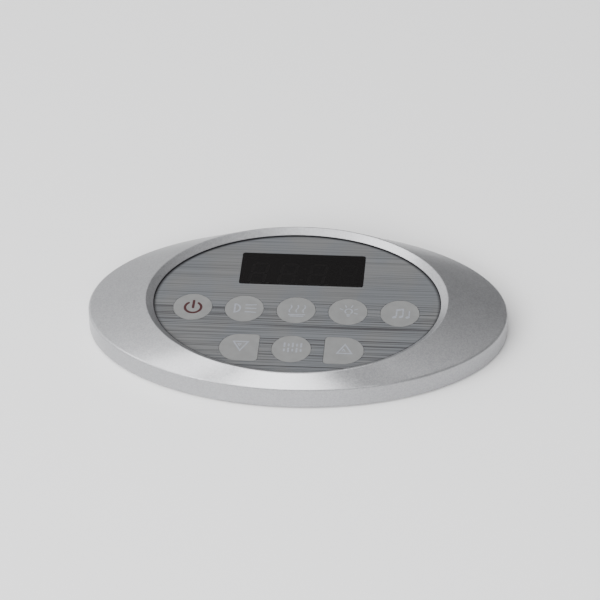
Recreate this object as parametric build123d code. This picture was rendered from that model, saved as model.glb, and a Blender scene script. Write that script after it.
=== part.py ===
"""Oval bath control panel: silver bezel, printed film, eight keys and a four-digit display.

Units are millimetres. The panel lies flat on a bath's deck. The origin is under the
middle of the bezel on the deck plane, +X runs to the user's right along the long axis,
+Y runs away from the user and +Z points out of the deck.
"""
from build123d import *
import math
import os

# ---- Layout of the printed face ----------------------------------------------------
key_diameter = 16.5         # round keys, and the height of the two end-flat keys
key_pitch = 22.0            # centre to centre along a row
key_corner = 1.6            # corners on the flat side of the down and up keys
row_gap = 8.06              # clear film between the two rows of keys
display_length = 53.3       # display window in the film, left to right
display_width = 20.6        # display window in the film, front to back
display_corner = 1.0
display_gap = 7.86          # clear film between the upper row of keys and the display
display_shift = 0.7         # middle of the display to the right of the middle key
end_margin = 8.95           # film beyond the outermost keys
front_margin = 6.66         # film in front of the lower row
back_margin = 12.22         # film behind the display

# ---- Height of each layer, from the deck upwards ------------------------------------
gasket_thickness = 1.0
cover_floor = 2.0
board_clearance = 1.4       # under the circuit board, for solder and screw heads
board_thickness = 1.6
switch_height = 3.5         # switch body, with its steel top plate
button_height = 0.8         # switch button above its body
flange_thickness = 0.7      # retaining flange under each key plunger
flange_gap = 0.2            # flange to key frame with the key at rest
frame_thickness = 1.5
film_thickness = 0.3

# ---- Bezel ---------------------------------------------------------------------------
funnel_run = 2.9            # lean of the sloping edge round the film
funnel_depth = 2.3          # height of that edge
lip_gap = 0.45              # shadow gap between the bezel's lip and the film
lip_edge = 0.25             # upright edge of the lip, below the funnel
side_ring = 25.2            # crest of the funnel out to the rim at the left and right ends
front_ring = 4.5            # and at the front and back
rim_drop = 6.0              # crest down to the rim
foot_flare = 0.2            # lean of the outer wall between rim and foot
foot_round = 0.9
foot_gap = 0.4              # foot above the deck, so that only the gasket is squeezed
rim_round = 1.2
crest_round = 0.5
wall = 2.0                  # outer wall where the rear cover slides in
seal_ledge = 1.4            # step that the perimeter seal is squeezed against
seal_height = 1.0
rib_thickness = 2.0         # rib that locates the key frame
rib_depth = 2.6             # rib below the face of the film

# ---- Keys and switches ----------------------------------------------------------------
key_gap = 0.15              # round each key, in the film and in the key frame
key_travel = 0.4
flange_overhang = 0.7       # flange beyond the key's own outline
switch_side = 6.0
switch_corner = 0.6
switch_plate = 0.3          # steel top plate of a switch
button_radius = 1.75
button_clearance = 0.1
button_root = 1.0           # button below the top of its switch at rest
led_length, led_width, led_height = 2.8, 1.6, 1.1
led_offset = 5.6            # light beside its switch

# ---- Display ---------------------------------------------------------------------------
lens_gap = 0.15
lens_lip = 1.5              # flange of the smoked window under the key frame
lens_lip_thickness = 0.8
module_length = 50.3
module_width = 19.0
digit_count = 4
digit_pitch = 12.7
digit_height = 14.2
digit_width = 7.6
digit_slant = 8.0           # degrees
segment_width = 1.4
segment_space = 0.35        # between neighbouring segments
segment_depth = 1.0
point_radius = 0.75         # decimal points and colon dots
pin_radius = 0.25
pin_pitch = 2.54
pins_per_row = 6
pin_row_spacing = 15.24
pin_length = 2.6

# ---- Frame, board, cover and what joins them --------------------------------------------
frame_overlap = 1.5         # film and key frame under the lip of the bezel
frame_clearance = 0.2       # key frame inside its locating rib
cover_clearance = 0.2       # rear cover inside the bezel
board_inset = 4.2           # board inside the edge of the film's window, all round
board_hole_radius = 1.4
post_radius = 2.4
pilot_radius = 0.9
small_shank = 0.85
small_head = 2.0
small_head_height = 1.1
ear_length = 16.0           # from inside the frame's edge to the tip
ear_width = 17.0
ear_thickness = 1.6
ear_root = 4.7              # part of the ear that is under the plate
ear_screw_outset = 6.5      # screws beyond the frame's edge
ear_screw_spacing = 10.0
ear_boss_radius = 2.6
ear_screw_bite = 2.6
cover_boss_radius = 3.9
cover_boss_height = 1.6
bezel_boss_radius = 3.0
cover_screw_inset = 5.5     # screw circle inside the inner wall of the bezel
cover_screw_angles = (0, 52, 128, 180, 232, 308)
cover_shank = 1.25
cover_pilot = 1.3
cover_hole = 1.5
cover_head = 2.5
cover_head_height = 1.7
cover_sink = 2.0            # depth of the counterbore for a cover screw
cover_screw_bite = 5.0
pilot_spare = 0.4           # pilot hole beyond the tip of its screw

# ---- Fixing to the deck, and the cable outlet ----------------------------------------------
insert_outset = 8.8         # insert centres beyond the ends of the film's window
insert_spacing_y = 28.0
insert_bore = 2.0           # M4
insert_radius = 2.9
insert_length = 6.0
insert_end = 0.8            # closed end of the insert
insert_collar_radius = 3.8
insert_wall = 1.7           # plastic round the insert
gasket_inset = 1.2          # gasket inside the edge of the rear cover
gasket_width = 5.0
gland_bore = 3.0
gland_neck = 4.4
gland_lip = 5.8
gland_lip_thickness = 0.8
gland_outset = 9.5          # gland beyond the right end of the film's window
gasket_notch = 4.0          # radius cut out of the gasket round each cover screw

# ---- Parts on the board -----------------------------------------------------------------------
controller_side, controller_height = 9.0, 1.4
driver_length, driver_width, driver_height = 9.9, 3.9, 1.5
lead_pitch, lead_width, lead_reach, lead_thickness = 1.27, 0.42, 1.05, 0.2
driver_leads = 7
crystal_length, crystal_width, crystal_height = 11.0, 4.6, 3.4
can_radius, can_height = 2.5, 4.4
can_base = 5.3
can_base_height = 0.7
buzzer_radius, buzzer_height, buzzer_vent = 4.2, 4.0, 0.8
socket_length, socket_width, socket_height, socket_wall = 9.0, 5.4, 4.2, 0.7
socket_pins = 5
socket_pin_pitch = 1.5
chip_length, chip_width, chip_height, chip_cap = 2.0, 1.25, 0.55, 0.4

# ---- Worked out from the sizes above -----------------------------------------------------------
key_radius = key_diameter / 2
window_length = 4 * key_pitch + key_diameter + 2 * end_margin
window_width = (front_margin + 2 * key_diameter + row_gap + display_gap
                + display_width + back_margin)
lower_row = -window_width / 2 + front_margin + key_radius
upper_row = lower_row + key_diameter + row_gap
display_y = upper_row + key_radius + display_gap + display_width / 2
display_place = (display_shift, display_y)

cover_z = gasket_thickness
cover_top = cover_z + cover_floor
board_z = cover_top + board_clearance
board_top = board_z + board_thickness
switch_top = board_top + switch_height
plunger_z = switch_top + button_height
flange_top = plunger_z + flange_thickness
frame_z = flange_top + flange_gap
frame_top = frame_z + frame_thickness
film_top = frame_top + film_thickness
lens_z = frame_z - lens_lip_thickness

lip_z = film_top + lip_gap
funnel_z = lip_z + lip_edge
crest_z = funnel_z + funnel_depth
rim_z = crest_z - rim_drop
crest_length = window_length + 2 * funnel_run
crest_width = window_width + 2 * funnel_run
rim_length = crest_length + 2 * side_ring
rim_width = crest_width + 2 * front_ring
hollow_length = rim_length - 2 * wall
hollow_width = rim_width - 2 * wall
ledge_z = cover_top + seal_height
frame_length = window_length + 2 * frame_overlap
frame_width = window_width + 2 * frame_overlap
rib_z = film_top - rib_depth
ear_top = rib_z - frame_clearance
ear_z = ear_top - ear_thickness
ear_x = frame_length / 2 + ear_screw_outset
board_length = window_length - 2 * board_inset
board_width = window_width - 2 * board_inset
insert_x = window_length / 2 + insert_outset
insert_y = insert_spacing_y / 2
gland_x = window_length / 2 + gland_outset

# name, centre, and the side that is flat: 0 for a round key, +1 right, -1 left
keys = (
    ("power", (-2 * key_pitch, upper_row), 0),
    ("jets", (-key_pitch, upper_row), 0),
    ("bubbles", (0.0, upper_row), 0),
    ("light", (key_pitch, upper_row), 0),
    ("music", (2 * key_pitch, upper_row), 0),
    ("down", (-key_pitch, lower_row), 1),
    ("memory", (0.0, lower_row), 0),
    ("up", (key_pitch, lower_row), -1),
)
row_middle = (upper_row + lower_row) / 2
display_front = display_y - display_width / 2
board_posts = (
    (-2 * key_pitch, display_front + post_radius),
    (2 * key_pitch, display_front + post_radius),
    (-2 * key_pitch - post_radius + 0.4, row_middle - post_radius - 0.6),
    (2 * key_pitch + post_radius - 0.4, row_middle - post_radius - 0.6),
    (0.0, row_middle),
    (0.0, display_y + display_width / 2 + lens_lip + post_radius + 1.0),
)
ear_screws = [(side * ear_x, y) for side in (-1, 1)
              for y in (-ear_screw_spacing / 2, ear_screw_spacing / 2)]
insert_places = [(x, y) for x in (-insert_x, insert_x) for y in (-insert_y, insert_y)]


# ---- Shapes used by several parts ----------------------------------------------------------------
def oval(length, width, z):
    """Elliptical face at a height."""
    return Pos(0, 0, z) * Ellipse(length / 2, width / 2)


def oval_block(length, width, z, height):
    return extrude(oval(length, width, z), amount=height)


def oval_taper(low, high):
    """Solid between two elliptical faces, each given as length, width and height."""
    return loft([oval(*low), oval(*high)], ruled=True)


def oval_ring(length, width, thickness, z, height):
    """Elliptical band whose thickness lies inside the length and width given."""
    return (oval_block(length, width, z, height)
            - oval_block(length - 2 * thickness, width - 2 * thickness, z, height))


def rod(place, radius, z, height):
    """Upright cylinder that starts at a height."""
    return Pos(place[0], place[1], z + height / 2) * Cylinder(radius, height)


def block(place, length, width, z, height):
    """Upright block that starts at a height."""
    return Pos(place[0], place[1], z + height / 2) * Box(length, width, height)


def on_oval(length, width, angle):
    """Point on an ellipse at an angle in degrees."""
    turn = math.radians(angle)
    return (length / 2 * math.cos(turn), width / 2 * math.sin(turn))


def rounded_block(place, length, width, corner, z, height):
    outline = Pos(place[0], place[1], z) * RectangleRounded(length, width, corner)
    return extrude(outline, amount=height)


def key_block(key, grow, z, height):
    """Solid with a key's outline, widened by a distance all round."""
    _, place, flat_side = key
    radius = key_radius + grow
    outline = Circle(radius)
    if flat_side:
        squared = Pos(flat_side * radius / 2, 0) * Rectangle(radius, 2 * radius)
        outline = outline + squared
        corners = [v for v in outline.vertices() if abs(v.X - flat_side * radius) < 0.01]
        outline = fillet(corners, key_corner + grow)
    return extrude(Pos(place[0], place[1], z) * outline, amount=height)


def screw(place, seat, shank, length, head, head_height):
    """Cross-head screw that points up, with the top of its head at the seat's height."""
    body = rod(place, head, seat - head_height, head_height)
    body = chamfer(body.faces().sort_by(Axis.Z)[0].edges(), head_height / 4)
    body += rod(place, shank, seat, length)
    slot_depth = head_height / 2
    for turn in (0, 90):
        slot = Box(1.4 * head, head / 4, slot_depth)
        body -= Pos(place[0], place[1], seat - head_height + slot_depth / 2) * Rot(0, 0, turn) * slot
    return body


def group(pieces):
    """Separate pieces that share one node."""
    return Compound(children=[solid for piece in pieces for solid in piece.solids()])


cover_screw_places = [on_oval(hollow_length - 2 * seal_ledge - 2 * cover_screw_inset,
                              hollow_width - 2 * seal_ledge - 2 * cover_screw_inset, angle)
                      for angle in cover_screw_angles]


# ---- Bezel -------------------------------------------------------------------------------------------
def bezel():
    """Silver moulding: outer skin less the funnel, the window and the hollow behind."""
    foot = (rim_length + 2 * foot_flare, rim_width + 2 * foot_flare, foot_gap)
    rim = (rim_length, rim_width, rim_z)
    crest = (crest_length, crest_width, crest_z)
    skin = oval_taper(foot, rim) + oval_taper(rim, crest)
    rim_edges = [e for e in skin.edges() if abs(e.center().Z - rim_z) < 0.01 and e.length > rim_length]
    skin = fillet(rim_edges, rim_round)
    foot_edges = [e for e in skin.edges() if abs(e.center().Z - foot_gap) < 0.01]
    skin = fillet(foot_edges, foot_round)
    skin -= oval_taper((window_length, window_width, funnel_z), crest)
    crest_edges = [e for e in skin.edges() if abs(e.center().Z - crest_z) < 0.01]
    skin = fillet(crest_edges, crest_round)
    skin -= oval_block(window_length, window_width, 0, funnel_z)
    return skin - bezel_hollow() - bezel_pilots()


def bezel_hollow():
    """Space behind the bezel, less the rib and the bosses that stand in it."""
    inner = (hollow_length - 2 * seal_ledge, hollow_width - 2 * seal_ledge, rim_z - wall)
    mouth = oval_block(hollow_length, hollow_width, 0, ledge_z)
    pocket_length = frame_length + 2 * frame_clearance
    pocket_width = frame_width + 2 * frame_clearance
    room = oval_block(inner[0], inner[1], 0, inner[2])
    room += oval_taper(inner, (pocket_length, pocket_width, lip_z))
    rib = oval_ring(pocket_length + 2 * rib_thickness, pocket_width + 2 * rib_thickness,
                    rib_thickness, rib_z, crest_z - rib_z)
    room -= rib
    for place in cover_screw_places:
        boss_z = cover_top + cover_boss_height
        room -= rod(place, bezel_boss_radius, boss_z, crest_z - boss_z)
    for place in ear_screws:
        room -= rod(place, ear_boss_radius, ear_top, crest_z - ear_top)
    return mouth + room


def bezel_pilots():
    """Pilot holes for the cover screws and the frame screws."""
    cover_seat = cover_top + cover_boss_height
    holes = [rod(place, cover_pilot, cover_seat, cover_screw_bite + pilot_spare)
             for place in cover_screw_places]
    holes += [rod(place, pilot_radius, ear_top, ear_screw_bite + pilot_spare)
              for place in ear_screws]
    return Part() + holes


# ---- Face ---------------------------------------------------------------------------------------------
def film():
    """Printed film, cut free round each key and open over the display."""
    sheet = oval_block(frame_length, frame_width, frame_top, film_thickness)
    for key in keys:
        sheet -= key_block(key, key_gap, frame_top, film_thickness)
    return sheet - rounded_block(display_place, display_length, display_width,
                                 display_corner, frame_top, film_thickness)


def lens():
    """Smoked window, flush with the film, with a lip that the key frame holds down."""
    top = rounded_block(display_place, display_length - 2 * lens_gap,
                        display_width - 2 * lens_gap, display_corner, frame_z, film_top - frame_z)
    return top + rounded_block(display_place, display_length + 2 * lens_lip,
                               display_width + 2 * lens_lip, display_corner, lens_z, lens_lip_thickness)


def frame():
    """Plate behind the film that guides the keys, with ears, and posts for the board."""
    plate = oval_block(frame_length, frame_width, frame_z, frame_thickness)
    for key in keys:
        plate -= key_block(key, key_gap, frame_z, frame_thickness)
    plate -= rounded_block(display_place, display_length, display_width,
                           display_corner, frame_z, frame_thickness)
    for place in board_posts:
        plate += rod(place, post_radius, board_top, frame_z - board_top)
        plate -= rod(place, pilot_radius, board_top, frame_z - board_top)
    for side in (-1, 1):
        plate += frame_ear(side)
    return plate


def frame_ear(side):
    """Stepped ear that passes under the bezel's rib to two screws."""
    root_x = frame_length / 2 - ear_root
    ear = block((side * (root_x + ear_length / 2), 0), ear_length, ear_width, ear_z, ear_thickness)
    foot_length = ear_root - 1.5
    ear += block((side * (root_x + foot_length / 2), 0), foot_length, ear_width,
                 ear_z, frame_z - ear_z)
    for x, y in ear_screws:
        if x * side > 0:
            ear -= rod((x, y), small_shank + 0.15, ear_z, ear_thickness)
    return ear


# ---- Keys ----------------------------------------------------------------------------------------------
def key_pad(key):
    """Patch of the printed film over one key."""
    return key_block(key, 0, frame_top, film_thickness)


def key_plunger(key):
    """Milky light guide under the film, with the flange that keeps it in."""
    stem = key_block(key, 0, flange_top, frame_top - flange_top)
    return stem + key_block(key, flange_overhang, plunger_z, flange_thickness)


def switch_button(key):
    return rod(key[1], button_radius, switch_top - button_root, button_root + button_height)


def switch_body(key):
    """Moulded body of a switch, with the well that its button sinks into."""
    height = switch_height - switch_plate
    body = rounded_block(key[1], switch_side, switch_side, switch_corner, board_top, height)
    well = button_root + key_travel + 0.2
    return body - rod(key[1], button_radius + button_clearance, switch_top - well, well)


def switch_cap(key):
    """Steel top plate of a switch."""
    plate = rounded_block(key[1], switch_side, switch_side, switch_corner,
                          switch_top - switch_plate, switch_plate)
    return plate - rod(key[1], button_radius + button_clearance,
                       switch_top - switch_plate, switch_plate)


def key_light(key, side):
    """Light beside a key's switch, under its plunger."""
    x, y = key[1]
    light = block((x, y + side * led_offset), led_length, led_width, board_top, led_height)
    return chamfer(light.faces().sort_by(Axis.Z)[-1].edges(), led_height / 5)


# ---- Display ----------------------------------------------------------------------------------------------
def segment_outlines():
    """Outlines of every segment of the digits, as lists of points."""
    reach_x = digit_width / 2 - segment_width / 2
    reach_y = digit_height / 4 - segment_width / 4
    across = 2 * reach_x - segment_space
    along = 2 * reach_y - segment_space
    bars = [(0, 2 * reach_y, across, 0), (0, 0, across, 0), (0, -2 * reach_y, across, 0)]
    bars += [(x, y, along, 90) for x in (-reach_x, reach_x) for y in (-reach_y, reach_y)]
    outlines = []
    for digit in range(digit_count):
        middle = (digit - (digit_count - 1) / 2) * digit_pitch
        for x, y, length, turn in bars:
            outlines.append([slanted(middle, x, y, point) for point in bar_points(length, turn)])
    return outlines


def bar_points(length, turn):
    """Six corners of a segment with pointed ends, lying along X or turned along Y."""
    half, point = length / 2, segment_width / 2
    corners = [(-half, 0), (-half + point, point), (half - point, point),
               (half, 0), (half - point, -point), (-half + point, -point)]
    return [(-y, x) for x, y in corners] if turn else corners


def slanted(middle, x, y, point):
    """Corner of a segment moved to its digit and leaned over."""
    px, py = x + point[0], y + point[1]
    return (display_shift + middle + px + py * math.tan(math.radians(digit_slant)), display_y + py)


def dot_places():
    """Decimal points after each digit, and the two dots of the colon."""
    lean = math.tan(math.radians(digit_slant))
    base = -digit_height / 2 + point_radius
    gap = digit_width / 2 + point_radius + 0.6
    middles = [(digit - (digit_count - 1) / 2) * digit_pitch for digit in range(digit_count)]
    places = [(display_shift + middle + gap + base * lean, display_y + base) for middle in middles]
    colon = digit_height / 4
    return places + [(display_shift + y * lean, display_y + y) for y in (-colon, colon)]


def segment_solids():
    """Light bars and dots of the display, flush with the top of its housing."""
    z = lens_z - segment_depth
    solids = [extrude(Pos(0, 0, z) * make_face(Polyline(*points, close=True)), amount=segment_depth)
              for points in segment_outlines()]
    return solids + [rod(place, point_radius, z, segment_depth) for place in dot_places()]


def module_housing():
    """Black housing of the display, with a pocket for each light bar and pin."""
    body = block(display_place, module_length, module_width, board_top, lens_z - board_top)
    return body - segment_solids() - module_pins()


def module_pins():
    """Pins from the display through the board."""
    run = (pins_per_row - 1) * pin_pitch
    rows = (display_y - pin_row_spacing / 2, display_y + pin_row_spacing / 2)
    places = [(display_shift - run / 2 + i * pin_pitch, y) for i in range(pins_per_row) for y in rows]
    return [rod(place, pin_radius, board_top + 1 - pin_length, pin_length) for place in places]


# ---- Board and the parts on it ---------------------------------------------------------------------------
def board():
    """Circuit board with holes for its screws and for the display's pins."""
    plate = oval_block(board_length, board_width, board_z, board_thickness)
    for place in board_posts:
        plate -= rod(place, board_hole_radius, board_z, board_thickness)
    return plate - module_pins()


left_x = -(display_length / 2 + controller_side / 2 + 4.6)
controller_place = (left_x, display_y)
driver_place = (-left_x, display_y + 2.6)
crystal_place = (left_x + 1.2, display_front + crystal_width / 2 - 2.0)
can_places = ((display_length / 2 + 6.8, display_front + 1.6),
              (display_length / 2 + 12.6, display_front - 2.6))
buzzer_place = (-(key_pitch + key_radius + buzzer_radius + 2.5), row_middle - 7.4)
socket_place = (-buzzer_place[0], row_middle - 7.4)
resistor_places = [(side * (column + 0.5) * key_pitch, row)
                   for side in (-1, 1) for column in (0, 1) for row in (upper_row - 2, upper_row + 2)]
bypass_places = [(side * key_pitch / 2, lower_row + offset)
                 for side in (-1, 1) for offset in (-2, 2)]


def controller():
    """Square controller chip with a leads' row on each side and a dot at its first lead."""
    body = block(controller_place, controller_side, controller_side, board_top + 0.1, controller_height)
    body = chamfer(body.faces().sort_by(Axis.Z)[-1].edges(), 0.3)
    x, y = controller_place
    corner = controller_side / 2 - 1.4
    dimple = rod((x - corner, y + corner), 0.5, board_top + controller_height - 0.1, 0.3)
    pieces = [body - dimple]
    count = int((controller_side - 1.6) / lead_pitch) + 1
    for turn in (0, 90, 180, 270):
        for i in range(count):
            offset = (i - (count - 1) / 2) * lead_pitch
            lead = Pos(offset, controller_side / 2 + lead_reach / 2, lead_thickness / 2) * Box(
                lead_width, lead_reach, lead_thickness)
            pieces.append(Pos(x, y, board_top) * Rot(0, 0, turn) * lead)
    return group(pieces)


def driver():
    """Display driver chip with a row of leads on each long side."""
    body = block(driver_place, driver_length, driver_width, board_top + 0.1, driver_height)
    pieces = [chamfer(body.faces().sort_by(Axis.Z)[-1].edges(), 0.3)]
    for side in (-1, 1):
        for i in range(driver_leads):
            x = driver_place[0] + (i - (driver_leads - 1) / 2) * lead_pitch
            y = driver_place[1] + side * (driver_width + lead_reach) / 2
            pieces.append(block((x, y), lead_width, lead_reach, board_top, lead_thickness))
    return group(pieces)


def crystal():
    """Crystal in its steel can."""
    can = rounded_block(crystal_place, crystal_length, crystal_width, crystal_width / 2 - 0.1,
                        board_top, crystal_height)
    return fillet(can.faces().sort_by(Axis.Z)[-1].edges(), 0.5)


def end_capped(place):
    """Surface-mount chip: ceramic body between two tinned ends."""
    x, y = place
    middle = chip_length - 2 * chip_cap
    body = block(place, middle, chip_width, board_top, chip_height)
    ends = [block((x + side * (middle + chip_cap) / 2, y), chip_cap, chip_width, board_top, chip_height)
            for side in (-1, 1)]
    return [body] + ends


def resistors():
    return group([piece for place in resistor_places for piece in end_capped(place)])


def capacitors():
    """Two can capacitors on square bases, and the small chips beside the lower keys."""
    pieces = []
    for place in can_places:
        pieces.append(block(place, can_base, can_base, board_top, can_base_height))
        can = rod(place, can_radius, board_top + can_base_height, can_height - can_base_height)
        pieces.append(fillet(can.faces().sort_by(Axis.Z)[-1].edges(), 0.3))
    for place in bypass_places:
        pieces += end_capped(place)
    return group(pieces)


def buzzer():
    body = rod(buzzer_place, buzzer_radius, board_top, buzzer_height)
    body = chamfer(body.faces().sort_by(Axis.Z)[-1].edges(), 0.4)
    return body - rod(buzzer_place, buzzer_vent, board_top + buzzer_height - 1.5, 1.5)


def cable_socket():
    """Open shroud round a row of pins, for the plug of the panel's cable."""
    shroud = block(socket_place, socket_length, socket_width, board_top, socket_height)
    shroud -= block(socket_place, socket_length - 2 * socket_wall, socket_width - 2 * socket_wall,
                    board_top + socket_wall, socket_height)
    pins = []
    for i in range(socket_pins):
        x = socket_place[0] + (i - (socket_pins - 1) / 2) * socket_pin_pitch
        pins.append(block((x, socket_place[1]), 0.5, 0.5, board_top + socket_wall, socket_height - 1.5))
    return group([shroud] + pins)


# ---- Rear cover, seals and fixings -------------------------------------------------------------------------
def rear_cover():
    """Floor of the panel with bosses for its screws and for the deck inserts."""
    cover = oval_block(hollow_length - 2 * cover_clearance, hollow_width - 2 * cover_clearance,
                       cover_z, cover_floor)
    for place in cover_screw_places:
        cover += rod(place, cover_boss_radius, cover_top, cover_boss_height)
        cover -= rod(place, cover_head + 0.3, cover_z, cover_sink)
        cover -= rod(place, cover_hole, cover_z, cover_floor + cover_boss_height)
    for place in insert_places:
        boss_top = insert_length + insert_wall
        cover += rod(place, insert_radius + insert_wall, cover_top, boss_top - cover_top)
        cover -= rod(place, insert_radius, cover_z, insert_length - cover_z)
    return cover - rod((gland_x, 0), gland_neck, cover_z, cover_floor)


def perimeter_seal():
    """Soft ring squeezed between the rear cover and the bezel's ledge."""
    return oval_ring(hollow_length - 2 * cover_clearance, hollow_width - 2 * cover_clearance,
                     seal_ledge - 2 * cover_clearance, cover_top, seal_height)


def deck_gasket():
    """Foam ring that the panel rests on, cut out round the heads of the cover screws."""
    ring = oval_ring(hollow_length - 2 * cover_clearance - 2 * gasket_inset,
                     hollow_width - 2 * cover_clearance - 2 * gasket_inset,
                     gasket_width, 0, gasket_thickness)
    for place in cover_screw_places:
        ring -= rod(place, gasket_notch, 0, gasket_thickness)
    return ring


def insert(place):
    """Blind brass insert whose collar stands on the deck and limits the gasket's squeeze."""
    body = rod(place, insert_radius, gasket_thickness, insert_length - gasket_thickness)
    body += rod(place, insert_collar_radius, 0, gasket_thickness)
    return body - rod(place, insert_bore, 0, insert_length - insert_end)


def gland():
    """Rubber grommet in the rear cover where the cable leaves."""
    place = (gland_x, 0)
    body = rod(place, gland_neck, cover_z, cover_floor)
    body += rod(place, gland_lip, cover_z - gland_lip_thickness, gland_lip_thickness)
    body += rod(place, gland_lip, cover_top, gland_lip_thickness)
    return body - rod(place, gland_bore, 0, film_top)


def board_screw(place):
    return screw(place, board_z, small_shank, board_thickness + 4.0, small_head, small_head_height)


def frame_screw(place):
    return screw(place, ear_z, small_shank, ear_thickness + ear_screw_bite,
                 small_head, small_head_height)


def cover_screw(place):
    seat = cover_z + cover_sink
    reach = cover_top + cover_boss_height + cover_screw_bite - seat
    return screw(place, seat, cover_shank, reach, cover_head, cover_head_height)


nodes = {
    "trim_bezel": bezel(),
    "overlay_film": film(),
    "display_window": lens(),
    "key_frame": frame(),
    "display_housing": module_housing(),
    "display_segments": group(segment_solids()),
    "display_pins": group(module_pins()),
    "circuit_board": board(),
    "switch_bodies": group([switch_body(key) for key in keys]),
    "switch_top_plates": group([switch_cap(key) for key in keys]),
    "key_lights": group([key_light(key, side) for key in keys for side in (-1, 1)]),
    "controller_chip": controller(),
    "driver_chip": driver(),
    "crystal": crystal(),
    "resistors": resistors(),
    "capacitors": capacitors(),
    "buzzer": buzzer(),
    "cable_socket": cable_socket(),
    "rear_cover": rear_cover(),
    "perimeter_seal": perimeter_seal(),
    "deck_gasket": deck_gasket(),
    "deck_inserts": group([insert(place) for place in insert_places]),
    "cable_gland": gland(),
    "board_screws": group([board_screw(place) for place in board_posts]),
    "frame_screws": group([frame_screw(place) for place in ear_screws]),
    "cover_screws": group([cover_screw(place) for place in cover_screw_places]),
}
for key in keys:
    nodes[key[0] + "_key_pad"] = key_pad(key)
    nodes[key[0] + "_key_plunger"] = key_plunger(key)
    nodes[key[0] + "_switch_button"] = switch_button(key)

os.makedirs("parts", exist_ok=True)
for name, shape in nodes.items():
    export_step(shape, os.path.join("parts", name + ".step"))
print(len(nodes), "nodes;", "film top", round(film_top, 2), "crest", round(crest_z, 2), "rim", round(rim_z, 2),
      "overall", round(rim_length + 2 * foot_flare, 2), "x", round(rim_width + 2 * foot_flare, 2))
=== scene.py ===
"""Oval bath control panel: the looks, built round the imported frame.

Laid out as an add-on. Every piece is in metres, in the frame's own axes: the deck is at
height zero, +X is the user's right, +Y is away from the user.
"""
import math
import bmesh
import bpy
from bpy.props import FloatProperty, FloatVectorProperty, PointerProperty
from mathutils import Matrix, Vector


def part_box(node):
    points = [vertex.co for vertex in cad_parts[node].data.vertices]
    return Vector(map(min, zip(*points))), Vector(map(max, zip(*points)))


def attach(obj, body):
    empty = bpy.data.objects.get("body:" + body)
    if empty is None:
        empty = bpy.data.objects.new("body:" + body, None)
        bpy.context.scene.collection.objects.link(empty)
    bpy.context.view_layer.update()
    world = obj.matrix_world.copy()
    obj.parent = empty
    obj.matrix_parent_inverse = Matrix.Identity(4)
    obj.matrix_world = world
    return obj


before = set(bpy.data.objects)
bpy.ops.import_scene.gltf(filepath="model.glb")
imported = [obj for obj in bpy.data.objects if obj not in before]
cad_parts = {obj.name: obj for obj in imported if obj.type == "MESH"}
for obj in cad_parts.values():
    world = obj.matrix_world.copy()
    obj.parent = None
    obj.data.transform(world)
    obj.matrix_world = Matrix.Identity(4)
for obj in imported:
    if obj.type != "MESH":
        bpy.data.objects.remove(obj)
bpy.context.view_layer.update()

bl_info = {
    "name": "Bath Control Panel",
    "version": (1, 0, 0),
    "blender": (4, 5, 0),
    "location": "View3D > Sidebar > Bath Panel",
    "description": "Finishes, symbols and studio for an oval bath control panel",
    "category": "Object",
}

MM = 0.001
KEYS = ("power", "jets", "bubbles", "light", "music", "down", "memory", "up")
PRINT_LIFT = 0.012 * MM     # print stands this far off the film
PRINT_THICK = 0.02 * MM
WINDOW_HALF = (61.2, 44.2)  # half axes of the bezel's window, in millimetres


# ---- Settings a user may change ------------------------------------------------------------
def colour(name, description, default):
    return FloatVectorProperty(name=name, description=description, default=default,
                               subtype="COLOR", size=3, min=0.0, max=1.0)


class BezelSettings(bpy.types.PropertyGroup):
    paint: colour("Paint", "Silver paint of the bezel", (0.345, 0.347, 0.36))
    roughness: FloatProperty(name="Roughness", description="Satin of the paint",
                             default=0.32, min=0.05, max=1.0)
    flake: FloatProperty(name="Flake", description="Size of the metal flake in the paint",
                         default=0.00045, min=0.00005, max=0.005, unit="LENGTH")


class FilmSettings(bpy.types.PropertyGroup):
    ground: colour("Ground", "Ground grey of the printed film", (0.109, 0.1104, 0.1122))
    line: colour("Lines", "Dark brushed lines printed on the film", (0.022, 0.0215, 0.024))
    line_pitch: FloatProperty(name="Line pitch", description="Typical distance between printed lines",
                              default=0.0008, min=0.0002, max=0.01, unit="LENGTH")
    line_run: FloatProperty(name="Line run", description="Typical length of a printed line",
                            default=0.08, min=0.002, max=0.5, unit="LENGTH")


class KeySettings(bpy.types.PropertyGroup):
    milk: colour("Milk", "Milky grey of the keys", (0.152, 0.154, 0.154))
    print: colour("Print", "Pale print of the symbols", (0.205, 0.214, 0.240))
    power: colour("Power print", "Dark red print of the power symbol", (0.030, 0.0015, 0.0028))
    stroke: FloatProperty(name="Stroke", description="Line width of the symbols",
                          default=0.0006, min=0.0001, max=0.003, unit="LENGTH")


class WindowSettings(bpy.types.PropertyGroup):
    smoke: colour("Smoke", "Smoked plastic of the display window", (0.0030, 0.0024, 0.0025))
    segment: colour("Segments", "Unlit light bars behind the window", (0.30, 0.285, 0.28))
    clear: FloatProperty(name="Clarity", description="How much shows through the smoked window",
                         default=0.16, min=0.0, max=1.0, subtype="FACTOR")


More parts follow.
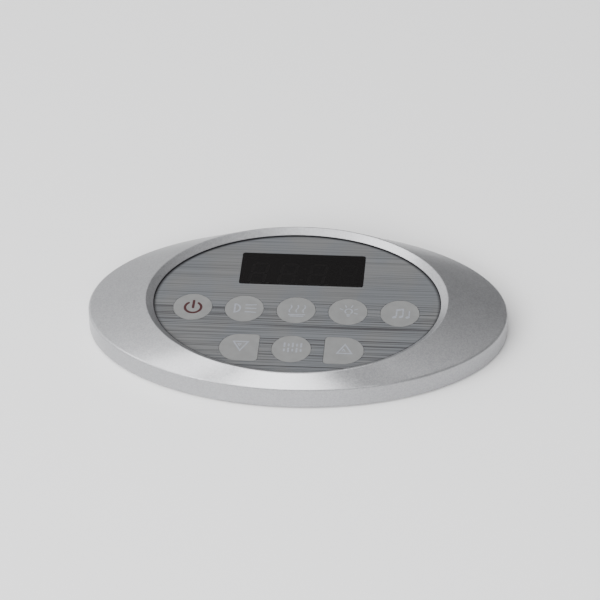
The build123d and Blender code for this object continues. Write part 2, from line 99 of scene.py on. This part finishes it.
class StageSettings(bpy.types.PropertyGroup):
    floor: colour("Floor", "Glossy pale floor", (0.87, 0.87, 0.875))
    azimuth: FloatProperty(name="Azimuth", description="Camera's turn to the right of the front",
                           default=math.radians(5.97), subtype="ANGLE")
    elevation: FloatProperty(name="Elevation", description="Camera's height above the horizon",
                             default=math.radians(40.96), subtype="ANGLE")
    roll: FloatProperty(name="Roll", description="Camera's lean about its own view",
                        default=math.radians(-2.02), subtype="ANGLE")
    distance: FloatProperty(name="Distance", description="Camera to the point it looks at",
                            default=1.257, min=0.2, max=10.0, unit="LENGTH")
    lens: FloatProperty(name="Lens", description="Focal length of the camera",
                        default=177.6, min=10.0, max=500.0, unit="CAMERA")
    aim: FloatVectorProperty(name="Aim", description="Point that the camera looks at",
                             default=(0.00115, 0.00187, 0.013), size=3, unit="LENGTH")


class PanelSettings(bpy.types.PropertyGroup):
    bezel: PointerProperty(name="Bezel", description="Silver bezel", type=BezelSettings)
    film: PointerProperty(name="Film", description="Printed film", type=FilmSettings)
    keys: PointerProperty(name="Keys", description="Keys and their symbols", type=KeySettings)
    window: PointerProperty(name="Window", description="Display", type=WindowSettings)
    stage: PointerProperty(name="Stage", description="Floor, lights and camera", type=StageSettings)


# ---- Shader maths -----------------------------------------------------------------------------
class Wire:
    """A socket in a material. Arithmetic on it adds Math nodes."""

    def __init__(self, paint, socket):
        self.paint, self.socket = paint, socket

    def maths(self, operation, *values):
        return self.paint.node("ShaderNodeMath", {"operation": operation},
                               dict(enumerate((self, *values))))

    def __add__(self, other):
        return self.maths("ADD", other)

    def __sub__(self, other):
        return self.maths("SUBTRACT", other)

    def __rsub__(self, other):
        return self.paint.node("ShaderNodeMath", {"operation": "SUBTRACT"}, {0: other, 1: self})

    def __mul__(self, other):
        return self.maths("MULTIPLY", other)

    def __truediv__(self, other):
        return self.maths("DIVIDE", other)

    def __pow__(self, other):
        return self.maths("POWER", other)

    __radd__ = __add__
    __rmul__ = __mul__

    def ramp(self, low, high):
        """0 below low, 1 above high, smooth between."""
        return self.paint.node("ShaderNodeMapRange", {"interpolation_type": "SMOOTHSTEP"},
                               {"Value": self, "From Min": low, "From Max": high})

    def near(self, middle, half, soft):
        """1 within half of a value, fading to 0 over soft."""
        away = (self - middle).maths("ABSOLUTE")
        return 1 - away.ramp(half, half + soft)


class Nodes:
    """The nodes of a material or a world, emptied to start with."""

    def __init__(self, owner):
        owner.use_nodes = True
        self.tree = owner.node_tree
        self.tree.nodes.clear()

    def node(self, kind, settings=None, values=None, out=0):
        """Adds a node, sets its settings and then its sockets, and returns one output."""
        made = self.tree.nodes.new(kind)
        for name, value in (settings or {}).items():
            setattr(made, name, value)
        for name, value in (values or {}).items():
            socket = made.inputs[name]
            if isinstance(value, Wire):
                self.tree.links.new(value.socket, socket)
            elif socket.type == "RGBA":
                socket.default_value = (*value, 1.0)
            else:
                socket.default_value = value
        return Wire(self, made.outputs[out])

    def end(self, kind, shader):
        """Joins the last shader to an output node."""
        self.tree.links.new(shader.socket, self.tree.nodes.new(kind).inputs["Surface"])


class Paint(Nodes):
    """One material: patterns on object coordinates, and the shader that ends them."""

    def __init__(self, name, slot=None):
        self.material = bpy.data.materials.new(name)
        self.slot = slot
        super().__init__(self.material)

    def place(self, scale=(1, 1, 1)):
        """Object coordinates, scaled."""
        here = self.node("ShaderNodeTexCoord", out="Object")
        return self.node("ShaderNodeVectorMath", {"operation": "MULTIPLY"}, {0: here, 1: scale})

    def axis(self, name):
        """One object coordinate, in millimetres."""
        spread = self.node("ShaderNodeSeparateXYZ", values={0: self.place()}, out=name)
        return spread * (1 / MM)

    def noise(self, size, detail=2.0, rough=0.5, stretch=(1, 1, 1)):
        """Soft noise whose features are about a size across, stretched along the axes."""
        scale = tuple(1 / (size * s) for s in stretch)
        return self.node("ShaderNodeTexNoise", values={
            "Vector": self.place(scale), "Scale": 1.0, "Detail": detail, "Roughness": rough})

    def cells(self, size):
        """A random grey for each small cell."""
        spots = self.node("ShaderNodeTexVoronoi", values={
            "Vector": self.place((1 / size,) * 3), "Scale": 1.0}, out="Color")
        return self.node("ShaderNodeSeparateColor", values={0: spots})

    def mix(self, amount, first, second):
        return self.node("ShaderNodeMix", {"data_type": "RGBA"}, {0: amount, 6: first, 7: second}, out=2)

    def bump(self, height, strength, distance):
        return self.node("ShaderNodeBump", values={
            "Height": height, "Strength": strength, "Distance": distance})

    def surface(self, **values):
        """Ends the material with a Principled shader."""
        names = {name.replace("_", " "): value for name, value in values.items()}
        self.end("ShaderNodeOutputMaterial", self.node("ShaderNodeBsdfPrincipled", values=names))
        return self

    def onto(self, obj):
        """Puts the material in every slot of an object."""
        if not obj.material_slots:
            obj.data.materials.append(self.material)
        for place in obj.material_slots:
            place.material = self.material
        return obj


def settings():
    return bpy.context.scene.bath_panel


# ---- Finishes -----------------------------------------------------------------------------------
def shade(tint, amount):
    """A colour made darker or lighter, and no lighter than white."""
    return tuple(min(1.0, c * amount) for c in tint)


def silver_paint():
    """Satin silver paint with fine flake and a faint ripple."""
    own = settings().bezel
    paint = Paint("silver_paint", "bezel_paint")
    flake = paint.cells(own.flake)
    cloud = paint.noise(0.009, 3.0)
    lift = flake * 0.20 + cloud * 0.06 + 0.85
    base = paint.node("ShaderNodeVectorMath", {"operation": "SCALE"},
                      {0: tuple(own.paint), "Scale": lift})
    height = flake * 0.45 + paint.noise(0.0011, 2.0)
    return paint.surface(Base_Color=base, Metallic=0.82,
                         Roughness=flake * 0.08 + cloud * 0.05 + (own.roughness - 0.06),
                         Normal=paint.bump(height, 0.10, 0.00006),
                         Coat_Weight=0.12, Coat_Roughness=0.22)


HEAVY_LINES = (-40.1, -33.1, -26.4, -23.2, -14.8)   # the five darkest lines, millimetres along Y
HEAVY_HALF, HEAVY_SOFT = 0.14, 0.25                 # half width and soft edge of one, millimetres
STRAIGHT = 400              # how much longer than wide the straight lines are drawn
DEEP = 1000                 # stretch along Z of a print that does not change with depth
PLAIN_DARK, NEAR_DARK, BAND_DARK, HEAVY_DARK = 0.36, 0.25, 0.24, 0.9
LIP_SHADOW_WIDTH = 1.3           # width of the painted shadow on the film beside the bezel's lip, millimetres
# near-black colour painted on the film as the shadow under the bezel's lip
LIP_SHADOW_COLOUR = (0.012, 0.012, 0.014)


def film_lines(paint, own):
    """How dark the brushed print is at a point: long thin lines, stronger towards the user."""
    run = own.line_run / own.line_pitch
    straight = paint.noise(own.line_pitch, 1.0, 0.5, (STRAIGHT, 1, DEEP))
    strokes = paint.noise(own.line_pitch * 0.9, 1.0, 0.5, (run, 1, DEEP))
    y = paint.axis("Y")
    near_user = 1 - y.ramp(-4.0, 9.0)
    band = y.near(-10.0, 4.0, 3.0)
    depth = PLAIN_DARK + near_user * NEAR_DARK + band * BAND_DARK
    heavy = 0.0
    for middle in HEAVY_LINES:
        heavy = y.near(middle, HEAVY_HALF, HEAVY_SOFT) + heavy
    faded = paint.noise(0.03, 1.0, 0.5, (1, 2, DEEP)).ramp(0.30, 0.60)
    dark = straight.ramp(0.50, 0.58) * 0.75 + strokes.ramp(0.52, 0.60) * 0.5
    return (dark * depth + heavy * faded * HEAVY_DARK).maths("MINIMUM", 1.0)


def painted_lip_shadow(paint):
    """1 in a thin oval band under the bezel's lip, where the film is painted black as the lip's shadow.
    """
    half_x, half_y = WINDOW_HALF
    x, y = paint.axis("X"), paint.axis("Y")
    oval = ((x / half_x) ** 2 + (y / half_y) ** 2).maths("SQRT")
    return oval.ramp(1 - LIP_SHADOW_WIDTH / half_y, 1.0)


def printed_film():
    """Grey film printed with brushed lines, satin, with a painted black shadow under the bezel's lip."""
    own = settings().film
    paint = Paint("printed_film", "printed_film")
    dark = film_lines(paint, own)
    tint = paint.mix(paint.noise(0.016, 2.0).ramp(0.35, 0.65), tuple(own.ground),
                     (own.ground[0] * 0.93, own.ground[1] * 0.97, own.ground[2] * 1.03))
    base = paint.mix(dark, tint, tuple(own.line))
    # paints the film near-black in the band under the bezel's lip, as the lip's shadow
    base = paint.mix(painted_lip_shadow(paint), base, LIP_SHADOW_COLOUR)
    grain = paint.noise(0.0005, 2.0)
    return paint.surface(Base_Color=base, Roughness=0.44 + dark * 0.10, Specular_IOR_Level=0.35,
                         Normal=paint.bump(grain, 0.12, 0.00003))


def milky_key():
    """Translucent grey of a key, a little uneven from the light guide behind."""
    own = settings().keys
    paint = Paint("milky_key", "key_print")
    cloud = paint.noise(0.0045, 2.0)
    base = paint.mix(cloud.ramp(0.3, 0.7), shade(own.milk, 0.95), shade(own.milk, 1.05))
    grain = paint.noise(0.0005, 2.0)
    return paint.surface(Base_Color=base, Roughness=0.40 + grain * 0.08,
                         Normal=paint.bump(grain, 0.10, 0.00003), Specular_IOR_Level=0.35)


def ink(name, tint, slot):
    """Screen-printed ink, slightly uneven."""
    paint = Paint(name, slot)
    cover = paint.noise(0.0009, 2.0)
    base = paint.mix(cover.ramp(0.25, 0.75), shade(tint, 0.9), shade(tint, 1.08))
    return paint.surface(Base_Color=base, Roughness=0.42 + cover * 0.06)


def smoked_window():
    """Polished smoked plastic that lets a little of the display through."""
    own = settings().window
    paint = Paint("smoked_window", "smoked_window")
    haze = paint.noise(0.006, 2.0)
    return paint.surface(Base_Color=tuple(own.smoke), Roughness=0.10 + haze * 0.06,
                         Alpha=1.0 - own.clear, Specular_IOR_Level=0.22)


def moulding(name, slot, tint, roughness=0.5, texture=0.0006):
    """Moulded plastic or rubber with a fine spark texture."""
    paint = Paint(name, slot)
    grain = paint.noise(texture, 3.0)
    cloud = paint.noise(0.012, 2.0)
    base = paint.mix(cloud.ramp(0.3, 0.7), shade(tint, 0.92), shade(tint, 1.08))
    return paint.surface(Base_Color=base, Roughness=grain * 0.12 + (roughness - 0.06),
                         Normal=paint.bump(grain, 0.35, 0.00004))


def metal(name, slot, tint, roughness=0.3, stretch=(1, 1, 6)):
    """Turned or drawn metal with fine marks along one axis."""
    paint = Paint(name, slot)
    marks = paint.noise(0.0004, 3.0, 0.6, stretch)
    base = paint.mix(marks, shade(tint, 0.88), shade(tint, 1.05))
    return paint.surface(Base_Color=base, Metallic=1.0,
                         Roughness=marks * 0.16 + (roughness - 0.08),
                         Normal=paint.bump(marks, 0.15, 0.00003))


def board_mask():
    """Green solder mask with faint copper tracks under it."""
    paint = Paint("solder_mask", "board_laminate")
    x, y = paint.axis("X"), paint.axis("Y")
    tracks = (y * 0.55).maths("FRACT").near(0.5, 0.07, 0.04) * paint.noise(0.02).ramp(0.45, 0.5)
    cross = (x * 0.4).maths("FRACT").near(0.5, 0.06, 0.04) * paint.noise(0.017).ramp(0.55, 0.6)
    copper = (tracks + cross).maths("MINIMUM", 1.0)
    base = paint.mix(copper, (0.012, 0.10, 0.035), (0.03, 0.2, 0.07))
    return paint.surface(Base_Color=base, Roughness=0.32 + 0.1 * paint.noise(0.003),
                         Normal=paint.bump(copper, 0.3, 0.00004), Coat_Weight=0.3)


def foam():
    """Closed-cell foam of the deck gasket."""
    paint = Paint("gasket_foam", "gasket_foam")
    pores = paint.cells(0.0006)
    base = paint.mix(pores, (0.035, 0.035, 0.035), (0.09, 0.09, 0.09))
    return paint.surface(Base_Color=base, Roughness=0.9, Normal=paint.bump(pores, 0.6, 0.0001))


# ---- Print: flat shapes round a key's middle, in millimetres -------------------------------------
FULL_TURN = 360             # degrees


def turned(degrees):
    return Matrix.Rotation(math.radians(degrees), 4, "Z")


def at(x, y, degrees=0.0):
    return Matrix.Translation((x * MM, y * MM, 0)) @ turned(degrees)


def face_of(mesh, points):
    """Flat face through a few corners."""
    face = mesh.faces.new([mesh.verts.new((x * MM, y * MM, 0)) for x, y in points])
    face.normal_update()
    return face


def round_corners(mesh, corners, offset):
    bmesh.ops.bevel(mesh, geom=corners, offset=offset * MM, segments=4, profile=0.5,
                    affect="VERTICES", material=-1)


def disc(mesh, x, y, radius, squeeze=1.0, lean=0.0):
    bmesh.ops.create_circle(mesh, cap_ends=True, segments=24, radius=radius * MM,
                            matrix=at(x, y, lean) @ Matrix.Diagonal((1, squeeze, 1, 1)))


def bar(mesh, x0, y0, x1, y1, width):
    """Straight stroke with round ends: a circle pulled out to a length."""
    segments = 16
    lean = math.degrees(math.atan2(y1 - y0, x1 - x0))
    half_step = turned(180 / segments)
    made = bmesh.ops.create_circle(mesh, cap_ends=True, segments=segments,
                                   radius=width / 2 * MM, matrix=half_step)["verts"]
    far = [v for v in made if v.co.x > 0]
    bmesh.ops.translate(mesh, verts=far, vec=(math.hypot(x1 - x0, y1 - y0) * MM, 0, 0))
    bmesh.ops.transform(mesh, matrix=at(x0, y0, lean), verts=made)


def arc(mesh, x, y, radius, start, sweep, width):
    """Curved stroke, spun from a short edge; angles in degrees from +X."""
    ends = [mesh.verts.new(at(x, y, start) @ Vector((r * MM, 0, 0)))
            for r in (radius - width / 2, radius + width / 2)]
    edge = mesh.edges.new(ends)
    spun = bmesh.ops.spin(mesh, geom=[*ends, edge], cent=(x * MM, y * MM, 0), axis=(0, 0, 1),
                          angle=math.radians(sweep), steps=max(6, int(abs(sweep) / 8)),
                          use_merge=abs(sweep) >= FULL_TURN)
    if abs(sweep) < FULL_TURN:
        last = [v for v in spun["geom_last"] if isinstance(v, bmesh.types.BMVert)]
        round_corners(mesh, ends + last, 0.42 * width)


def outline(mesh, points, width):
    """Closed stroke: a face inset on itself, less its middle."""
    face = face_of(mesh, points)
    bmesh.ops.inset_region(mesh, faces=[face], thickness=width * MM, use_boundary=True,
                           use_even_offset=True)
    bmesh.ops.delete(mesh, geom=[face], context="FACES")


# ---- The eight symbols ---------------------------------------------------------------------------
# Widths that differ from the stroke, as shares of it.
BOLD, NOZZLE, FINE, MARK, ARROW, INNER_ARROW = 11 / 6, 5 / 4, 5 / 6, 4 / 3, 13 / 12, 2 / 3
EIGHTH = 45                 # degrees in an eighth of a turn


def draw_power(mesh, stroke):
    """Open ring with a bar in its gap."""
    arc(mesh, 0.2, -0.3, 3.45, 119, 302, stroke * BOLD)
    bar(mesh, 0.2, -0.5, 0.2, 3.9, stroke * BOLD)


def draw_jets(mesh, stroke):
    """Nozzle and three jets of water."""
    bmesh.ops.create_circle(mesh, cap_ends=True, segments=24, radius=3.05 * MM)
    bmesh.ops.bisect_plane(mesh, geom=[*mesh.verts, *mesh.edges, *mesh.faces],
                           plane_co=(0, 0, 0), plane_no=(1, 0, 0), clear_inner=True)
    bmesh.ops.transform(mesh, verts=mesh.verts, matrix=at(-4.4, 0.1))
    bmesh.ops.inset_region(mesh, faces=list(mesh.faces), thickness=stroke * NOZZLE * MM,
                           use_boundary=True, use_even_offset=True)
    inner = max(mesh.faces, key=lambda f: len(f.verts))
    bmesh.ops.delete(mesh, geom=[inner], context="FACES")
    for y, drop in ((2.3, -0.25), (0.2, 0.0), (-2.0, 0.3)):
        bar(mesh, 0.6, y, 4.9, y - drop, stroke)


def draw_bubbles(mesh, stroke):
    """Three streams that rise from a tub."""
    radius, half = 1.6, 44
    for x in (-2.4, 0.5, 3.4):
        reach = radius * math.cos(math.radians(half))
        arc(mesh, x - reach, 2.05, radius, -half, 2 * half, stroke)
        arc(mesh, x + reach, -0.4, radius, 180 - half, 2 * half, stroke)
    bar(mesh, -2.9, -2.8, 3.9, -2.8, stroke)
    bar(mesh, -2.2, -3.8, 3.2, -3.8, stroke)


def draw_light(mesh, stroke):
    """Lamp with rays round it."""
    middle, glass, inner, outer = Vector((0.3, 0.3)), 1.5, 2.75, 4.0
    arc(mesh, *middle, glass, -55, 290, stroke)
    bar(mesh, -0.35, -1.85, 0.95, -1.85, stroke * FINE)
    bar(mesh, -0.1, -2.7, 0.7, -2.7, stroke * FINE)
    for turn in range(-22, 203, EIGHTH):
        ray = Vector((math.cos(math.radians(turn)), math.sin(math.radians(turn))))
        bar(mesh, *(middle + inner * ray), *(middle + outer * ray), stroke * FINE)


def draw_music(mesh, stroke):
    """Two joined notes and a single one."""
    left, right, leg, beam = (-1.75, 2.6), (1.6, 3.3), 0.65, 1.1
    face_of(mesh, [(left[0], -1.7), (left[0] + leg, -1.7), (left[0] + leg, left[1] - beam),
                   (right[0] - leg, right[1] - beam), (right[0] - leg, -1.3), (right[0], -1.3),
                   right, left])
    for x, y in ((-2.25, -2.45), (0.55, -2.05)):
        disc(mesh, x, y, 0.98, 0.72, 25)
    bar(mesh, 3.95, -1.3, 3.95, 1.5, stroke)
    disc(mesh, 3.35, -2.3, 0.95, 0.72, 25)


def draw_arrow(mesh, x, y, way, stroke):
    """Outlined triangle that points up or down, with a small one inside."""
    outline(mesh, [(x - 3.6, y - 2.9 * way), (x + 3.6, y - 2.9 * way), (x, y + 3.6 * way)],
            stroke * ARROW)
    outline(mesh, [(x - 1.5, y - 1.4 * way), (x + 0.6, y - 1.4 * way), (x - 0.45, y + 0.5 * way)],
            stroke * INNER_ARROW)


def draw_down(mesh, stroke):
    draw_arrow(mesh, 0.6, 1.0, -1, stroke)


def draw_memory(mesh, stroke):
    """Two rows of tuning marks."""
    for row, y in enumerate((2.45, -0.75)):
        for i in range(5):
            half = 1.05 if (i + row) % 2 == 0 else 0.5
            x = (i - 2) * 1.75 + 0.5
            bar(mesh, x, y - half, x, y + half, stroke * MARK)


def draw_up(mesh, stroke):
    draw_arrow(mesh, 0.3, 0.9, 1, stroke)


DRAWN = {"power": draw_power, "jets": draw_jets, "bubbles": draw_bubbles, "light": draw_light,
         "music": draw_music, "down": draw_down, "memory": draw_memory, "up": draw_up}


def print_symbol(key, stroke, paint):
    """Draws a key's symbol flat, thickens it a little and lays it on the key."""
    mesh = bmesh.new()
    DRAWN[key](mesh, stroke)
    low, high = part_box(key + "_key_pad")
    middle = Vector(((low.x + high.x) / 2, (low.y + high.y) / 2, high.z + PRINT_LIFT))
    bmesh.ops.recalc_face_normals(mesh, faces=mesh.faces)
    bmesh.ops.reverse_faces(mesh, faces=[f for f in mesh.faces if f.normal.z < 0])
    grown = bmesh.ops.extrude_face_region(mesh, geom=list(mesh.faces), use_keep_orig=True)["geom"]
    bmesh.ops.translate(mesh, verts=[v for v in grown if isinstance(v, bmesh.types.BMVert)],
                        vec=(0, 0, PRINT_THICK))
    bmesh.ops.translate(mesh, verts=mesh.verts, vec=middle)
    bmesh.ops.recalc_face_normals(mesh, faces=mesh.faces)
    data = bpy.data.meshes.new(key + "_symbol")
    mesh.to_mesh(data)
    mesh.free()
    symbol = bpy.data.objects.new(key + "_symbol", data)
    bpy.context.scene.collection.objects.link(symbol)
    paint.onto(symbol)
    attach(symbol, key + "_key")


# ---- Operators ---------------------------------------------------------------------------------------
def finish_nodes(paint, *names):
    for name in names:
        paint.onto(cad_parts[name])


class BATHPANEL_OT_bezel(bpy.types.Operator):
    """Paint the bezel silver"""
    bl_idname = "bathpanel.bezel"
    bl_label = "Bezel"

    def execute(self, context):
        finish_nodes(silver_paint(), "trim_bezel")
        return {"FINISHED"}


class BATHPANEL_OT_film(bpy.types.Operator):
    """Print the film behind the bezel"""
    bl_idname = "bathpanel.film"
    bl_label = "Printed film"

    def execute(self, context):
        finish_nodes(printed_film(), "overlay_film")
        return {"FINISHED"}


class BATHPANEL_OT_window(bpy.types.Operator):
    """Finish the smoked window and the display behind it"""
    bl_idname = "bathpanel.window"
    bl_label = "Display"

    def execute(self, context):
        own = settings().window
        finish_nodes(smoked_window(), "display_window")
        finish_nodes(moulding("display_black", "display_black", (0.012, 0.012, 0.012)), "display_housing")
        finish_nodes(moulding("segment_resin", "segment_resin", tuple(own.segment), 0.3),
                     "display_segments")
        finish_nodes(metal("display_pin_tin", "tinned_metal", (0.75, 0.74, 0.7)), "display_pins")
        return {"FINISHED"}


class BATHPANEL_OT_keys(bpy.types.Operator):
    """Finish the key faces, their light guides and the switch buttons"""
    bl_idname = "bathpanel.keys"
    bl_label = "Keys"

    def execute(self, context):
        face = milky_key()
        guide = moulding("light_guide", "milky_plastic", (0.62, 0.62, 0.63), 0.3)
        button = moulding("switch_button", "button_plastic", (0.03, 0.03, 0.03), 0.45)
        for key in KEYS:
            finish_nodes(face, key + "_key_pad")
            finish_nodes(guide, key + "_key_plunger")
            finish_nodes(button, key + "_switch_button")
        return {"FINISHED"}


class BATHPANEL_OT_symbols(bpy.types.Operator):
    """Print a symbol on each key"""
    bl_idname = "bathpanel.symbols"
    bl_label = "Symbols"

    def execute(self, context):
        own = settings().keys
        pale = ink("pale_ink", tuple(own.print), "key_print")
        red = ink("red_ink", tuple(own.power), "power_key_print")
        for key in KEYS:
            print_symbol(key, own.stroke / MM, red if key == "power" else pale)
        return {"FINISHED"}


class BATHPANEL_OT_electronics(bpy.types.Operator):
    """Finish the circuit board and everything soldered to it"""
    bl_idname = "bathpanel.electronics"
    bl_label = "Electronics"

    def execute(self, context):
        tin = metal("tinned_steel", "tinned_metal", (0.72, 0.72, 0.72))
        chip = moulding("chip_epoxy", "chip_black", (0.022, 0.022, 0.024), 0.55, 0.0003)
        finish_nodes(board_mask(), "circuit_board")
        finish_nodes(moulding("switch_shell", "switch_plastic", (0.02, 0.02, 0.02)), "switch_bodies")
        finish_nodes(tin, "switch_top_plates", "crystal")
        finish_nodes(moulding("light_resin", "light_resin", (0.8, 0.76, 0.55), 0.3), "key_lights")
        finish_nodes(chip, "controller_chip", "driver_chip", "resistors", "buzzer")
        finish_nodes(metal("drawn_can", "can_metal", (0.8, 0.8, 0.82), 0.25), "capacitors")
        finish_nodes(moulding("socket_nylon", "socket_plastic", (0.7, 0.67, 0.56), 0.4), "cable_socket")
        finish_nodes(moulding("frame_plastic", "frame_plastic", (0.06, 0.06, 0.065)), "key_frame")
        return {"FINISHED"}


class BATHPANEL_OT_back(bpy.types.Operator):
    """Finish the rear cover, the seals and the fixings"""
    bl_idname = "bathpanel.back"
    bl_label = "Back"

    def execute(self, context):
        rubber = moulding("soft_rubber", "seal_rubber", (0.022, 0.022, 0.022), 0.7)
        steel = metal("screw_steel", "screw_steel", (0.62, 0.62, 0.64), 0.28, (1, 1, 1))
        finish_nodes(moulding("cover_plastic", "cover_plastic", (0.075, 0.075, 0.08), 0.5), "rear_cover")
        finish_nodes(rubber, "perimeter_seal", "cable_gland")
        finish_nodes(foam(), "deck_gasket")
        finish_nodes(metal("turned_brass", "insert_brass", (0.78, 0.55, 0.24), 0.3), "deck_inserts")
        finish_nodes(steel, "board_screws", "frame_screws", "cover_screws")
        return {"FINISHED"}


# ---- Stage --------------------------------------------------------------------------------------------
FLOOR_HALF = 6.0            # metres


def floor_gloss(own):
    """Glossy pale floor, one plain colour."""
    paint = Paint("pale_floor")
    return paint.surface(Base_Color=tuple(own.floor), Roughness=0.28, Coat_Weight=0.3,
                         Coat_Roughness=0.12)


def studio_floor(own):
    mesh = bmesh.new()
    bmesh.ops.create_grid(mesh, x_segments=8, y_segments=8, size=FLOOR_HALF)
    data = bpy.data.meshes.new("floor")
    mesh.to_mesh(data)
    mesh.free()
    floor = bpy.data.objects.new("floor", data)
    bpy.context.scene.collection.objects.link(floor)
    floor_gloss(own).onto(floor)


def soft_box(name, place, size, power):
    """Area light that faces the middle of the deck."""
    lamp = bpy.data.lights.new(name, "AREA")
    lamp.shape, lamp.size, lamp.size_y = "RECTANGLE", size[0], size[1]
    lamp.energy = power
    obj = bpy.data.objects.new(name, lamp)
    bpy.context.scene.collection.objects.link(obj)
    facing = (-Vector(place)).to_track_quat("-Z", "Y").to_matrix().to_4x4()
    obj.matrix_world = Matrix.Translation(place) @ facing


# Soft boxes: name, place, size in metres, power in watts.
SOFT_BOXES = (
    ("left_soft_box", (-1.1, -0.5, 1.3), (1.0, 1.0), 16),
    ("front_soft_box", (-0.4, -1.6, 0.95), (1.9, 0.6), 40),
    ("overhead_soft_box", (-0.2, -0.2, 1.7), (1.0, 1.0), 14),
)
# Strength of the surroundings on each side.
LEFT_GLOW, RIGHT_GLOW, OVERHEAD_GLOW, HORIZON_GLOW, BACK_LEFT_GLOW = 1.75, 0.30, 0.63, 0.24, 0.24
DIAGONAL = 0.7              # share of X and of Y in a direction half way between them


def studio_air():
    """Pale surroundings: bright to the left and overhead, greyer to the back right."""
    world = bpy.data.worlds.new("studio")
    bpy.context.scene.world = world
    air = Nodes(world)
    way = air.node("ShaderNodeTexCoord", out="Generated")
    spread = {n: air.node("ShaderNodeSeparateXYZ", values={0: way}, out=n) for n in "XYZ"}
    left = (0 - spread["X"]).ramp(-0.2, 1.0) * LEFT_GLOW
    right = spread["X"].ramp(-0.2, 1.0) * RIGHT_GLOW
    overhead = spread["Z"].ramp(0.5, 1.0) * OVERHEAD_GLOW
    horizon = (1 - spread["Z"].ramp(0.1, 0.6)) * HORIZON_GLOW
    back_left = (spread["Y"] * DIAGONAL - spread["X"] * DIAGONAL).ramp(0.2, 1.0) * BACK_LEFT_GLOW
    glow = left + right + overhead + horizon + back_left
    sky = air.node("ShaderNodeBackground", values={"Color": (1.0, 1.0, 1.0), "Strength": glow})
    air.end("ShaderNodeOutputWorld", sky)


FULL_FRAME = 36.0           # width of the camera's sensor, millimetres


def camera(own):
    """Long lens, looking down at the panel from in front."""
    lens = bpy.data.cameras.new("camera")
    lens.lens, lens.sensor_width = own.lens, FULL_FRAME
    lens.clip_start, lens.clip_end = 0.05, 50.0
    eye = bpy.data.objects.new("camera", lens)
    bpy.context.scene.collection.objects.link(eye)
    flat = math.cos(own.elevation)
    back = Vector((math.sin(own.azimuth) * flat, -math.cos(own.azimuth) * flat,
                   math.sin(own.elevation)))
    facing = (-back).to_track_quat("-Z", "Y").to_matrix().to_4x4()
    place = Matrix.Translation(Vector(own.aim) + back * own.distance)
    eye.matrix_world = place @ facing @ Matrix.Rotation(own.roll, 4, "Z")
    bpy.context.scene.camera = eye


class BATHPANEL_OT_stage(bpy.types.Operator):
    """Make the floor, the soft light and the camera"""
    bl_idname = "bathpanel.stage"
    bl_label = "Stage"

    def execute(self, context):
        own = settings().stage
        studio_floor(own)
        studio_air()
        for soft_light in SOFT_BOXES:
            soft_box(*soft_light)
        camera(own)
        return {"FINISHED"}


STEPS = (BATHPANEL_OT_bezel, BATHPANEL_OT_film, BATHPANEL_OT_window, BATHPANEL_OT_keys,
         BATHPANEL_OT_symbols, BATHPANEL_OT_electronics, BATHPANEL_OT_back, BATHPANEL_OT_stage)


class BATHPANEL_PT_sidebar(bpy.types.Panel):
    """Settings and steps of the bath control panel"""
    bl_idname = "BATHPANEL_PT_sidebar"
    bl_label = "Bath Panel"
    bl_space_type = "VIEW_3D"
    bl_region_type = "UI"
    bl_category = "Bath Panel"

    def draw(self, context):
        own = context.scene.bath_panel
        for part in ("bezel", "film", "keys", "window", "stage"):
            group = getattr(own, part)
            box = self.layout.box()
            box.label(text=part.capitalize())
            for name in group.__annotations__:
                box.prop(group, name)
        for step in STEPS:
            self.layout.operator(step.bl_idname)


CLASSES = (BezelSettings, FilmSettings, KeySettings, WindowSettings, StageSettings,
           PanelSettings, *STEPS, BATHPANEL_PT_sidebar)


def register():
    for made in CLASSES:
        bpy.utils.register_class(made)
    bpy.types.Scene.bath_panel = PointerProperty(type=PanelSettings)


def unregister():
    del bpy.types.Scene.bath_panel
    for made in reversed(CLASSES):
        bpy.utils.unregister_class(made)


def main():
    register()
    for step in STEPS:
        group, name = step.bl_idname.split(".")
        getattr(getattr(bpy.ops, group), name)()


if __name__ == "__main__":
    main()
